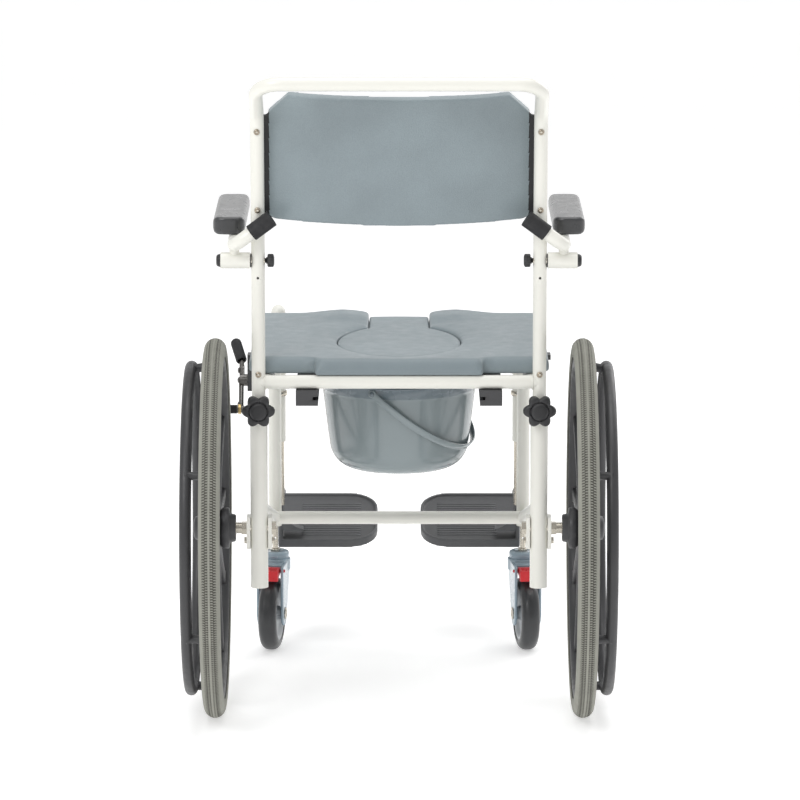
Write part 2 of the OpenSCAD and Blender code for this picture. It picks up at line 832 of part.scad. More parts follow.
module castor_wheel(side) {
    half = castor_w / 2 - 2;
    color("lightgray") castor_frame(side)
        translate([0, -castor_trail, castor_r]) rotate([0, 90, 0]) rotate_extrude() polygon([
            [4 + fit, -half - 3], [11, -half - 3], [13, -half + 6], [38, -half + 6], [40, -half],
            [46, -half], [46, half], [40, half], [38, half - 6], [13, half - 6],
            [11, half + 3], [4 + fit, half + 3]]);
}

module castor_tread(side) {
    half = castor_w / 2;
    round_r = 11;
    color("#3c3c3e") castor_frame(side)
        translate([0, -castor_trail, castor_r]) rotate([0, 90, 0]) rotate_extrude($fn = 96)
            polygon(concat([[46, -half + 1], [castor_r - round_r, -half]],
                arc([castor_r - round_r, -half + round_r], round_r, 270, 360, 8),
                arc([castor_r - round_r, half - round_r], round_r, 0, 90, 8),
                [[46, half - 1]]));
}

module castor_pedal(side) {
    half = fork_in - 1.5;
    tread_l = 22;
    color("crimson") castor_frame(side) {
        across(-fork_out + 1, fork_out - 1, pedal_pin.x, pedal_pin.y, 2.5);
        across(-half, half, pedal_pin.x, pedal_pin.y, 6);
        translate([-half, pedal_pin.x - 2 - tread_l, pedal_pin.y - 8]) cube([2 * half, tread_l, 13]);
        translate([-half, pedal_pin.x - 2 - tread_l, pedal_pin.y - 14]) cube([2 * half, 10, 8]);
    }
}

// ---- footrests ----

module footrest_hanger(side) {
    top_z = hanger_top_z + (side < 0 ? left_post_extra : 0);
    color(cream) on_side(side) translate([hanger_x, hanger_y, 0]) {
        difference() {
            translate([0, 0, hanger_bottom_z])
                linear_extrude(top_z - hanger_r - hanger_bottom_z)
                    ring(hanger_r, hanger_r - inner_r - fit);
            across(-20, 20, 0, hanger_bottom_z + 9, 3);
        }
        // Domed top
        translate([0, 0, top_z - hanger_r]) rotate_extrude()
            polygon(concat([[0, -2], [inner_r, -2], [inner_r, 0]], arc([0, 0], hanger_r, 0, 90, 10)));
        // Stop collars above and below the upper bracket collar
        for (z = [collar_z[1] - 4.5, collar_z[1] + collar_h + 0.5]) {
            translate([0, 0, z]) linear_extrude(4) ring(hanger_r + 3, 3.2);
        }
    }
}

module footrest_tube(side) {
    hole_pitch = 25;
    color(nickel) on_side(side) translate([hanger_x, hanger_y, 0]) {
        difference() {
            translate([0, 0, inner_bottom_z])
                linear_extrude(inner_top_z - inner_bottom_z) ring(inner_r, 2);
            for (i = [0 : 4]) across(-20, 20, 0, 262 + hole_pitch * i, 3);
        }
        rod([0, inner_r - 1.5, hinge_z], [0, 47, hinge_z], hinge_pin_r);
    }
}

// Footplate's own frame: origin at the rear edge, tilted front edge up
module plate_frame() {
    translate([0, plate_rear_y, plate_rear_z]) rotate([plate_tilt, 0, 0]) children();
}

module plate_outline(inset) {
    x0 = 207 - plate_w;
    r = 48;
    polygon(concat(
        arc([x0 + r, r], r - inset, 180, 270),
        [[207 - inset, inset], [207 - inset, plate_l - inset]],
        arc([x0 + r, plate_l - r], r - inset, 90, 180)));
}

module footplate(side) {
    lip = 5;
    recess = 5;
    arm_y = [529, 560];
    color("#58585a") on_side(side) difference() {
        union() {
            plate_frame() difference() {
                linear_extrude(plate_t) plate_outline(0);
                translate([0, 0, plate_t - recess]) linear_extrude(plate_t) plate_outline(lip);
            }
            translate([hanger_x - 5, arm_y[0], 176]) cube([7, arm_y[1] - arm_y[0], hinge_z - 176]);
            rod([hanger_x, arm_y[0], hinge_z], [hanger_x, arm_y[1], hinge_z], 11);
        }
        rod([hanger_x, arm_y[0] - 1, hinge_z], [hanger_x, arm_y[1] + 5, hinge_z],
            hinge_pin_r + fit);
    }
}

rear_leg(-1);  // rear_leg_left
rear_leg(1);  // rear_leg_right
side_tube(-1);  // side_tube_left
side_tube(1);  // side_tube_right
lower_rail(-1);  // lower_rail_left
lower_rail(1);  // lower_rail_right
rear_cross_tube();
front_cross_tubes();
back_frame();
wheel_bracket(-1);  // wheel_bracket_left
wheel_bracket(1);  // wheel_bracket_right
axle_bolts();
pan_rail(-1);  // pan_rail_left
pan_rail(1);  // pan_rail_right
brake_clamp();
back_pad();
frame_screws();
seat_pad();
armrest_pivot_bolts();
armrest_pivot_caps();
castor_stems();
seat_insert();
pan();
pan_handle();
star_knob(-1);  // star_knob_left
star_knob(1);  // star_knob_right
armrest_knob(-1);  // armrest_knob_left
armrest_knob(1);  // armrest_knob_right
armrest_tube(-1);  // armrest_tube_left
armrest_tube(1);  // armrest_tube_right
armrest_pad(-1);  // armrest_pad_left
armrest_pad(1);  // armrest_pad_right
armrest_stop(-1);  // armrest_stop_left
armrest_stop(1);  // armrest_stop_right
brake_lever();
brake_grip();
wheel_rim(-1);  // wheel_rim_left
wheel_rim(1);  // wheel_rim_right
wheel_spokes(-1);  // wheel_spokes_left
wheel_spokes(1);  // wheel_spokes_right
tyre(-1);  // tyre_left
tyre(1);  // tyre_right
push_rim(-1);  // push_rim_left
push_rim(1);  // push_rim_right
hub_bearings(-1);  // hub_bearings_left
hub_bearings(1);  // hub_bearings_right
castor_fork(-1);  // castor_fork_left
castor_fork(1);  // castor_fork_right
castor_wheel(-1);  // castor_wheel_left
castor_wheel(1);  // castor_wheel_right
castor_tread(-1);  // castor_tread_left
castor_tread(1);  // castor_tread_right
castor_pedal(-1);  // castor_pedal_left
castor_pedal(1);  // castor_pedal_right
footrest_hanger(-1);  // footrest_hanger_left
footrest_hanger(1);  // footrest_hanger_right
footrest_tube(-1);  // footrest_tube_left
footrest_tube(1);  // footrest_tube_right
footplate(-1);  // footplate_left
footplate(1);  // footplate_right
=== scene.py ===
"""Looks for the commode chair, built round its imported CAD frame. Metres, +Y forward, +Z up."""

import json
import math
import random

import bmesh
import bpy
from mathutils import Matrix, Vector


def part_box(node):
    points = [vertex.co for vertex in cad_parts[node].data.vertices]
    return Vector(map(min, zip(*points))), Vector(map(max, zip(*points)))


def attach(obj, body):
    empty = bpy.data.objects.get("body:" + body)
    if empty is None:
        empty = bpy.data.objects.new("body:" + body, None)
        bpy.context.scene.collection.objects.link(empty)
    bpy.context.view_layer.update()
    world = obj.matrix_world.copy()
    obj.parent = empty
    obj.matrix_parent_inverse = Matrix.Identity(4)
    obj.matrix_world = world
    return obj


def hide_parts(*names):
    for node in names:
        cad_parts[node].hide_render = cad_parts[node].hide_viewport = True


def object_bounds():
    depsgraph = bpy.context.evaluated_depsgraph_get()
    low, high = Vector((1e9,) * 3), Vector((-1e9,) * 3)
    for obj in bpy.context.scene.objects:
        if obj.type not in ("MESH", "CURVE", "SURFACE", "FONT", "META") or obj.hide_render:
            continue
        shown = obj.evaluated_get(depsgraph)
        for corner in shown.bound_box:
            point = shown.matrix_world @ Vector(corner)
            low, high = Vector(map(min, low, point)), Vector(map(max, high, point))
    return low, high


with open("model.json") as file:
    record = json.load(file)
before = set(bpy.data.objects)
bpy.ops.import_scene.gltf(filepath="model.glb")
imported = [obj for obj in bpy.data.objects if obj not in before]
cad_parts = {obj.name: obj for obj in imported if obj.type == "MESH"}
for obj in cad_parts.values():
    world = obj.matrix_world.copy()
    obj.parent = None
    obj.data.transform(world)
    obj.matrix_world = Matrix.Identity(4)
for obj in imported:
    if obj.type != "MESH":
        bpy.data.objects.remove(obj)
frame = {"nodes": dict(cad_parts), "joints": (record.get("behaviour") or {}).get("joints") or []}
cad_box = [list(corner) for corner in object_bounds()]
nodes = frame["nodes"]
SIDES = (("left", -1), ("right", 1))
X, Y, Z = Vector((1, 0, 0)), Vector((0, 1, 0)), Vector((0, 0, 1))


# ---- places, read from the frame ----

def corners(node):
    low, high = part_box(node)
    return Vector(low), Vector(high)


def centre(node):
    low, high = corners(node)
    return (low + high) / 2


def joint_record(name):
    return [j for j in frame["joints"] if j["name"] == name][0]


def joint(name):
    """Rest position of a joint's axis."""
    return Vector(joint_record(name)["pos_m"])


def joint_axis(name):
    return Vector(joint_record(name)["axis"]).normalized()


# ---- materials ----

def srgb(r, g, b):
    """Linear colour of an 8-bit screen colour."""
    def linear(v):
        v /= 255
        return v / 12.92 if v <= 0.04045 else ((v + 0.055) / 1.055) ** 2.4
    return (linear(r), linear(g), linear(b), 1)


def scaled(colour, factor):
    return tuple(min(1, c * factor) for c in colour[:3]) + (1,)


def finish(name, colour, rough, grain=None, vary=0.05, cloud=9, wear=None, brushed=None, **sockets):
    """Procedural material: clouded colour, uneven gloss, a bump grain of (scale, depth in metres)
    and, where wear is a colour, lighter worn edges."""
    mat = bpy.data.materials.new(name)
    mat.use_nodes = True
    tree = mat.node_tree
    make, link = tree.nodes.new, tree.links.new
    shader = tree.nodes["Principled BSDF"]
    where = make("ShaderNodeTexCoord").outputs["Object"]

    def noise(scale, detail=3, stretch=None):
        source = where
        if stretch:
            mapping = make("ShaderNodeMapping")
            mapping.inputs["Scale"].default_value = stretch
            link(where, mapping.inputs["Vector"])
            source = mapping.outputs["Vector"]
        n = make("ShaderNodeTexNoise")
        n.inputs["Scale"].default_value = scale
        n.inputs["Detail"].default_value = detail
        link(source, n.inputs["Vector"])
        return n.outputs["Fac"]

    def ramp(value, low, high, at=(0.3, 0.7)):
        r = make("ShaderNodeValToRGB")
        r.color_ramp.elements[0].position, r.color_ramp.elements[1].position = at
        r.color_ramp.elements[0].color, r.color_ramp.elements[1].color = low, high
        link(value, r.inputs["Fac"])
        return r.outputs["Color"]

    def blend(factor, a, b):
        m = make("ShaderNodeMix")
        m.data_type = "RGBA"
        link(factor, m.inputs["Factor"])
        link(a, m.inputs["A"])
        if isinstance(b, tuple):
            m.inputs["B"].default_value = b
        else:
            link(b, m.inputs["B"])
        return m.outputs["Result"]

    tone = ramp(noise(cloud), scaled(colour, 1 - vary), scaled(colour, 1 + vary))
    if grain:
        fine = noise(grain[0], 2)
        dark = ramp(fine, (1 - vary,) * 3 + (1,), (1, 1, 1, 1), (0.35, 0.6))
        m = make("ShaderNodeMix")
        m.data_type, m.blend_type = "RGBA", "MULTIPLY"
        m.inputs["Factor"].default_value = 1
        link(tone, m.inputs["A"])
        link(dark, m.inputs["B"])
        tone = m.outputs["Result"]
    if wear:
        edge = make("ShaderNodeNewGeometry").outputs["Pointiness"]
        tone = blend(ramp(edge, (0, 0, 0, 1), (0.6, 0.6, 0.6, 1), (0.52, 0.6)), tone, wear)
    link(tone, shader.inputs["Base Color"])
    gloss = ramp(noise(cloud * 4), (rough * 0.82,) * 3 + (1,), (min(1, rough * 1.18),) * 3 + (1,))
    link(gloss, shader.inputs["Roughness"])
    height = None
    if grain:
        height = make("ShaderNodeBump")
        height.inputs["Distance"].default_value = grain[1]
        height.inputs["Strength"].default_value = 1
        link(noise(grain[0], 3), height.inputs["Height"])
    if brushed:
        lines = make("ShaderNodeBump")
        lines.inputs["Distance"].default_value = brushed[1]
        link(noise(brushed[0], 2, (1, 1, 0.04)), lines.inputs["Height"])
        if height:
            link(height.outputs["Normal"], lines.inputs["Normal"])
        height = lines
    if height:
        link(height.outputs["Normal"], shader.inputs["Normal"])
    for socket, value in sockets.items():
        shader.inputs[socket.replace("_", " ")].default_value = value
    return mat


COLOURS = {
    "cream": srgb(235, 234, 226), "blue_grey": srgb(128, 140, 145), "back_grey": srgb(136, 148, 153),
    "pan_grey": srgb(136, 147, 150), "tyre": srgb(148, 148, 139), "dark": srgb(58, 58, 60),
    "black": srgb(38, 38, 40), "rim": srgb(62, 62, 64), "plate": srgb(84, 85, 87),
    "castor": srgb(150, 168, 180), "tread": srgb(58, 59, 61), "red": srgb(214, 44, 52),
}
paint = finish("powder_coat", COLOURS["cream"], 0.33, (900, 0.00004), 0.012, 5, Coat_Weight=0.35,
               Coat_Roughness=0.25)
foam = finish("seat_skin", COLOURS["blue_grey"], 0.44, (800, 0.0003), 0.05, 14, Sheen_Weight=0.12,
              Sheen_Roughness=0.5)
back_foam = finish("back_skin", COLOURS["back_grey"], 0.46, (620, 0.00045), 0.09, 10, Sheen_Weight=0.1,
                   Sheen_Roughness=0.5)
pad_skin = finish("armrest_skin", srgb(50, 51, 53), 0.3, (700, 0.00016), 0.12, 20,
                  wear=srgb(96, 98, 101), Coat_Weight=0.5, Coat_Roughness=0.3)
plastic = finish("moulded_black", COLOURS["black"], 0.42, (2200, 0.00005), 0.08, 30,
                 wear=srgb(78, 78, 80))
rubber = finish("black_rubber", COLOURS["black"], 0.68, (1700, 0.00014), 0.12, 25)
steel = finish("nickel_steel", srgb(196, 190, 178), 0.24, None, 0.06, 60, brushed=(700, 0.00003),
               Metallic=1.0)
brass = finish("yellow_zinc", srgb(196, 172, 120), 0.28, None, 0.1, 80, brushed=(900, 0.00003),
               Metallic=1.0)
screw_steel = finish("screw_nickel", srgb(158, 147, 131), 0.3, None, 0.12, 90, brushed=(900, 0.00003),
                     Metallic=1.0)
lever_steel = finish("dark_plated_steel", srgb(120, 118, 116), 0.3, (2500, 0.00002), 0.12, 60,
                     Metallic=1.0)
tyre_rubber = finish("tyre_rubber", COLOURS["tyre"], 0.82, (1300, 0.00012), 0.07, 30)
# Darker rubber for the tyre's slot floors: painted shade in the slots
groove_painted_shade = finish("tyre_groove_painted_shade", srgb(88, 87, 81), 0.9, (1300, 0.00012), 0.07, 30)
rim_nylon = finish("wheel_nylon", COLOURS["rim"], 0.45, (1800, 0.00007), 0.07, 18)
push_coat = finish("push_rim_coat", COLOURS["dark"], 0.42, (1500, 0.00009), 0.06, 18)
plate_nylon = finish("footplate_nylon", COLOURS["plate"], 0.48, (1900, 0.00008), 0.06, 16,
                     wear=srgb(120, 121, 124))
castor_gloss = finish("castor_gloss", COLOURS["castor"], 0.24, (1500, 0.00002), 0.03, 25,
                      Coat_Weight=0.4)
castor_hub = finish("castor_hub", srgb(188, 191, 194), 0.35, (1500, 0.00004), 0.04, 30)
tread_pu = finish("castor_polyurethane", COLOURS["tread"], 0.34, (1400, 0.00005), 0.08, 30)
pedal_gloss = finish("pedal_red", COLOURS["red"], 0.32, (1500, 0.00004), 0.06, 40)
pan_gloss = finish("pan_polypropylene", COLOURS["pan_grey"], 0.2, (1200, 0.00002), 0.025, 12,
                   Coat_Weight=0.3)
# Darker grey for the pan's band and rim: painted shade for the shadow the seat casts on it
pan_painted_shade = finish("pan_painted_shade", srgb(112, 124, 131), 0.26, (1200, 0.00002), 0.025, 12, Coat_Weight=0.3)


# ---- mesh building ----

def mesh_object(name, verts, faces, smooth=True):
    data = bpy.data.meshes.new(name)
    data.from_pydata([tuple(v) for v in verts], [], faces)
    data.update()
    obj = bpy.data.objects.new(name, data)
    bpy.context.scene.collection.objects.link(obj)
    for polygon in data.polygons:
        polygon.use_smooth = smooth
    return obj


def outward(obj):
    """Faces turned outwards, doubles merged."""
    bm = bmesh.new()
    bm.from_mesh(obj.data)
    bmesh.ops.remove_doubles(bm, verts=bm.verts, dist=1e-6)
    bmesh.ops.recalc_face_normals(bm, faces=bm.faces)
    bm.to_mesh(obj.data)
    bm.free()
    return obj


def soften(obj, width, segments=3, angle=35):
    """Rounded edges and smooth shading with weighted normals."""
    bevel = obj.modifiers.new("edges", "BEVEL")
    bevel.width, bevel.segments = width, segments
    bevel.limit_method, bevel.angle_limit = "ANGLE", math.radians(angle)
    obj.modifiers.new("shading", "WEIGHTED_NORMAL").keep_sharp = True
    for polygon in obj.data.polygons:
        polygon.use_smooth = True
    return apply_modifiers(obj)


def apply_modifiers(obj):
    bpy.context.view_layer.update()
    evaluated = obj.evaluated_get(bpy.context.evaluated_depsgraph_get())
    data = bpy.data.meshes.new_from_object(evaluated)
    obj.modifiers.clear()
    obj.data = data
    return obj


def axes(direction):
    """Two unit vectors square to direction."""
    d = Vector(direction).normalized()
    side = (X if abs(d.x) < 0.9 else Y).cross(d).normalized()
    return side, d.cross(side)


def lathe(name, profile, start, direction, steps=64, wave=None):
    """Profile of (distance along, radius) turned about the line from start; closed if it ends where it began.
    wave(angle, along, radius) may change a radius."""
    u, v = axes(direction)
    d = Vector(direction).normalized()
    ring = list(profile)
    closed = ring[0] == ring[-1]
    if closed:
        ring = ring[:-1]
    verts, faces, rows = [], [], []
    for a, r in ring:
        if r < 1e-7:
            rows.append([len(verts)] * steps)
            verts.append(Vector(start) + d * a)
            continue
        rows.append(list(range(len(verts), len(verts) + steps)))
        for i in range(steps):
            t = 2 * math.pi * i / steps
            rr = wave(t, a, r) if wave else r
            verts.append(Vector(start) + d * a + (u * math.cos(t) + v * math.sin(t)) * rr)
    pairs = list(zip(rows, rows[1:])) + ([(rows[-1], rows[0])] if closed else [])
    for low, high in pairs:
        for i in range(steps):
            j = (i + 1) % steps
            face = []
            for k in (low[i], low[j], high[j], high[i]):
                if k not in face:
                    face.append(k)
            if len(face) > 2:
                faces.append(face)
    return outward(mesh_object(name, verts, faces))


def sweep(name, path, section, closed=False, up=Z, caps=True):
    """Section carried along a path of points: a closed list of (side, up) offsets, or a function of the
    path's index that gives one."""
    n = len(path)
    verts, faces = [], []
    for i, p in enumerate(path):
        before = path[i - 1] if i or closed else path[0]
        after = path[(i + 1) % n] if i < n - 1 or closed else path[-1]
        t = (Vector(after) - Vector(before)).normalized()
        side = t.cross(up)
        side = side.normalized() if side.length > 1e-6 else X
        top = side.cross(t)
        shape = section(i) if callable(section) else section
        count = len(shape)
        verts += [Vector(p) + side * a + top * b for a, b in shape]
    for i in range(n if closed else n - 1):
        for k in range(count):
            m = (k + 1) % count
            a, b = i * count, (i + 1) % n * count
            faces.append([a + k, a + m, b + m, b + k])
    if caps and not closed:
        faces.append(list(range(count)))
        faces.append(list(range((n - 1) * count, n * count)))
    return outward(mesh_object(name, verts, faces))


def round_section(radius, steps=20, squash=1.0):
    return [(radius * math.cos(2 * math.pi * i / steps), squash * radius * math.sin(2 * math.pi * i / steps))
            for i in range(steps)]


def cut_corners(deep, wide, cut):
    """Section of a bar with cut corners, from its half depth and half width."""
    return [(-deep + cut, -wide), (deep - cut, -wide), (deep, -wide + cut), (deep, wide - cut),
            (deep - cut, wide), (-deep + cut, wide), (-deep, wide - cut), (-deep, -wide + cut)]


def arc(cx, cy, r, a0, a1, steps=8):
    return [(cx + r * math.cos(math.radians(a0 + (a1 - a0) * i / steps)),
             cy + r * math.sin(math.radians(a0 + (a1 - a0) * i / steps))) for i in range(steps + 1)]


def prism(name, outline, low, high, place):
    """Solid between two copies of an outline of (u, v) points. place(u, v, w) gives the point in the
    frame."""
    n = len(outline)
    verts = [place(u, v, low) for u, v in outline] + [place(u, v, high) for u, v in outline]
    faces = [list(range(n))[::-1], list(range(n, 2 * n))]
    faces += [[i, (i + 1) % n, n + (i + 1) % n, n + i] for i in range(n)]
    return outward(mesh_object(name, verts, faces))


def join(name, pieces):
    """One object from several."""
    bm = bmesh.new()
    for piece in pieces:
        bm.from_mesh(piece.data)
    data = bpy.data.meshes.new(name)
    bm.to_mesh(data)
    bm.free()
    for piece in pieces:
        bpy.data.objects.remove(piece)
    for polygon in data.polygons:
        polygon.use_smooth = True
    obj = bpy.data.objects.new(name, data)
    bpy.context.scene.collection.objects.link(obj)
    return obj


def dress(obj, material, body, slot, *replaced):
    """Material, body and the CAD nodes that the piece stands for; the slot argument is not used."""
    obj.data.materials.clear()
    obj.data.materials.append(material)
    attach(obj, body)
    if replaced:
        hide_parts(*replaced)
    return obj


def voxel_round(obj, size, smooth=6, factor=0.6):
    """Moulded look: remesh, then relax the corners."""
    remesh = obj.modifiers.new("skin", "REMESH")
    remesh.mode, remesh.voxel_size, remesh.use_smooth_shade = "VOXEL", size, True
    relax = obj.modifiers.new("relax", "SMOOTH")
    relax.factor, relax.iterations = factor, smooth
    return apply_modifiers(obj)


# ---- frame: CAD nodes carried over with their own finishes, and what is added to them ----

CAD_FINISH = {
    paint: ["rear_leg_left", "rear_leg_right", "side_tube_left", "side_tube_right", "lower_rail_left",
            "lower_rail_right", "rear_cross_tube", "front_cross_tubes", "back_frame",
            "wheel_bracket_left", "wheel_bracket_right", "armrest_tube_left", "armrest_tube_right",
            "footrest_hanger_left", "footrest_hanger_right"],
    steel: ["armrest_pivot_bolts", "castor_stems", "hub_bearings_left", "hub_bearings_right",
            "footrest_tube_left", "footrest_tube_right", "axle_bolts", "frame_screws"],
    plastic: ["pan_rail_left", "pan_rail_right", "brake_clamp", "armrest_pivot_caps"],
    rubber: ["armrest_stop_left", "armrest_stop_right"],
}
for material, names in CAD_FINISH.items():
    for node in names:
        obj = nodes[node]
        obj.data.materials.clear()
        obj.data.materials.append(material)

leg = {side: centre("rear_leg_" + side) for side, _ in SIDES}
tube_r = (corners("rear_cross_tube")[1].z - corners("rear_cross_tube")[0].z) / 2
rail_z = centre("rear_cross_tube").z


def bead(name, at, direction, radius, thick=0.0011):
    """Weld bead round a tube's end."""
    u, v = axes(direction)
    rng = random.Random(name)
    path = []
    for i in range(72):
        t = 2 * math.pi * i / 72
        r = radius + rng.uniform(-0.0002, 0.0002)
        path.append(Vector(at) + (u * math.cos(t) + v * math.sin(t)) * r)
    obj = sweep(name, path, round_section(thick, 8), closed=True, up=Vector(direction))
    return dress(obj, paint, "frame", "frame_paint")


for side, s in SIDES:
    upright_x = s * (abs(leg[side].x) - tube_r)
    bead("weld_rear_cross_" + side, (upright_x, leg[side].y, rail_z), X, tube_r + 0.0003)


# ---- back cushion ----

def back_cushion():
    """Moulded panel bowed backwards between the uprights, with rounded edges and cut upper corners."""
    obj = bpy.data.objects.new("back_cushion", nodes["back_pad"].data.copy())
    bpy.context.scene.collection.objects.link(obj)
    voxel_round(obj, 0.003, 5, 0.6)
    dress(obj, back_foam, "frame", "back_foam", "back_pad")
    # The side flanges take the black plastic: partly the real mounting flange, partly painted shade for the
    # dark gap between cushion and uprights
    obj.data.materials.append(plastic)
    shaded_flange_w = 0.0252
    panel_half = corners("back_pad")[1].x - shaded_flange_w
    for polygon in obj.data.polygons:
        if abs(polygon.center.x) > panel_half:
            polygon.material_index = 1
    return obj


back_cushion()


# ---- seat ----

def foam_copy(name, node, voxel, smooth, shape=None):
    obj = bpy.data.objects.new(name, nodes[node].data.copy())
    bpy.context.scene.collection.objects.link(obj)
    voxel_round(obj, voxel, smooth, 0.6)
    if shape:
        for vertex in obj.data.vertices:
            vertex.co = shape(vertex.co)
    return obj


def smooth_step(v):
    v = min(1, max(0, v))
    return v * v * (3 - 2 * v)


seat_low, seat_high = corners("seat_pad")


def seat_form(co):
    """Cushion's moulded top: rounded outer edge, dished round the opening, raised at the front horns."""
    x, edge_r = abs(co.x), 0.015
    thick = seat_high.z - seat_low.z
    corner_cut, cut_from, cut_over = 0.018, 0.122, 0.030
    rear = seat_low.y + corner_cut * smooth_step((x - cut_from) / cut_over)
    inside = min(seat_high.x - x, co.y - rear, seat_high.y - co.y)
    drop = 0
    if inside < edge_r:
        near = edge_r - max(0, inside)
        drop = edge_r - math.sqrt(edge_r ** 2 - near ** 2)
    middle_y = seat_low.y + 0.2095
    half_w, half_l, mean_r, neck_half = 0.102, 0.1515, 0.11, 0.051
    dish_depth, dish_reach = 0.005, 0.05
    oval = (math.hypot(x / half_w, (co.y - middle_y) / half_l) - 1) * mean_r
    neck = x - neck_half if co.y > middle_y else 1
    dish = dish_depth * max(0, 1 - max(0, min(oval, neck)) / dish_reach) ** 2
    horn_rise, horn_l, horn_w = 0.006, 0.11, 0.17
    horn = horn_rise * smooth_step((co.y - seat_high.y + horn_l) / 0.06) * smooth_step((horn_w - x) / 0.08)
    return Vector((co.x, co.y, seat_low.z + (co.z - seat_low.z) * (1 + (horn - drop - dish) / thick)))


def insert_form(co):
    """Insert set a little below the cushion round it, with a low crown."""
    low, high = corners("seat_insert")
    crown_rise, crown_half, share = 0.0025, 0.1, 0.72
    crown = crown_rise * max(0, 1 - (co.x / crown_half) ** 2)
    return Vector((co.x, co.y, low.z + (co.z - low.z) * (share + crown / (high.z - low.z))))


seat = foam_copy("seat_cushion", "seat_pad", 0.003, 8, seat_form)
dress(seat, foam, "frame", "seat_foam", "seat_pad")
insert = foam_copy("seat_insert_cushion", "seat_insert", 0.003, 4, insert_form)
dress(insert, foam, "seat_insert", "seat_foam", "seat_insert")
for side, s in SIDES:
    pad = foam_copy("armrest_cushion_" + side, "armrest_pad_" + side, 0.0025, 4)
    dress(pad, pad_skin, "armrest_" + side, "pad_black", "armrest_pad_" + side)


def armrest_plug(side, s):
    """Black plug in the front end of the armrest's tube."""
    tube_x, tube_above_pivot = 0.262 * s, 0.028
    front_y = corners("armrest_tube_" + side)[1].y
    at = (tube_x, front_y, joint("armrest_flip_" + side).z + tube_above_pivot)
    r = tube_r - 0.0002
    profile = [(-0.008, 0), (-0.008, r - 0.0018), (0.0002, r - 0.0018), (0.0002, r), (0.0014, r),
               (0.0024, r - 0.0012), (0.0028, r - 0.004), (0.0028, 0)]
    plug = lathe("armrest_plug_" + side, profile, at, Y, 40)
    dress(plug, plastic, "armrest_" + side, "black_plastic")


for side, s in SIDES:
    armrest_plug(side, s)


# ---- rear wheels ----

def tyre(side):
    """Solid tyre: a centre rib and two rows of fine slanted slots on each side of it."""
    node = "tyre_" + side
    low, high = corners(node)
    mid = (low + high) / 2
    half, outer = (high.x - low.x) / 2, (high.z - low.z) / 2
    seat_r = outer - 0.0305
    crown = outer - half
    pitches, per_pitch = 430, 4
    slot, line, slot_share, slant = 0.0017, 0.45, 0.42, 180
    inner_row, outer_row = (0.0022, 0.0057), (0.0072, 0.0108)
    lines = ((0.0018, 0.0020), (0.0061, 0.0069), (0.0112, 0.0113))
    tread_half = 0.0114
    stations = [-0.0158, -0.0145, -0.0125, -0.0112, -0.0108, -0.0072, -0.0068, -0.0061, -0.0057, -0.0022,
                -0.0019, -0.0013]
    stations = stations + [-a for a in reversed(stations)]
    seat_half = half * 0.93
    profile = [(-seat_half, seat_r), (-half, crown)]
    profile += [(a, crown + math.sqrt(half ** 2 - a ** 2)) for a in stations]
    profile += [(half, crown), (seat_half, seat_r), (-seat_half, seat_r)]

    def relief(t, a, r):
        d = abs(a)
        phase = t * pitches / (2 * math.pi) + d * slant
        for (near, far), shift in ((inner_row, 0), (outer_row, 0.5)):
            if near <= d <= far and (phase + shift) % 1 < slot_share:
                return r - slot
        if any(near <= d <= far for near, far in lines):
            return r - slot * line
        return r

    obj = lathe("tread_tyre_" + side, profile, mid, X, pitches * per_pitch, relief)
    dress(obj, tyre_rubber, "wheel_" + side, "tyre_grey", node)
    obj.data.materials.append(groove_painted_shade)
    # Slot floors take the darker rubber: painted shade in the tread's recesses
    for polygon in obj.data.polygons:
        offset = polygon.center - mid
        full = crown + math.sqrt(max(0, half ** 2 - offset.x ** 2))
        depth = full - math.hypot(offset.y, offset.z)
        if abs(offset.x) < tread_half and depth > slot * 0.42:
            polygon.material_index = 1


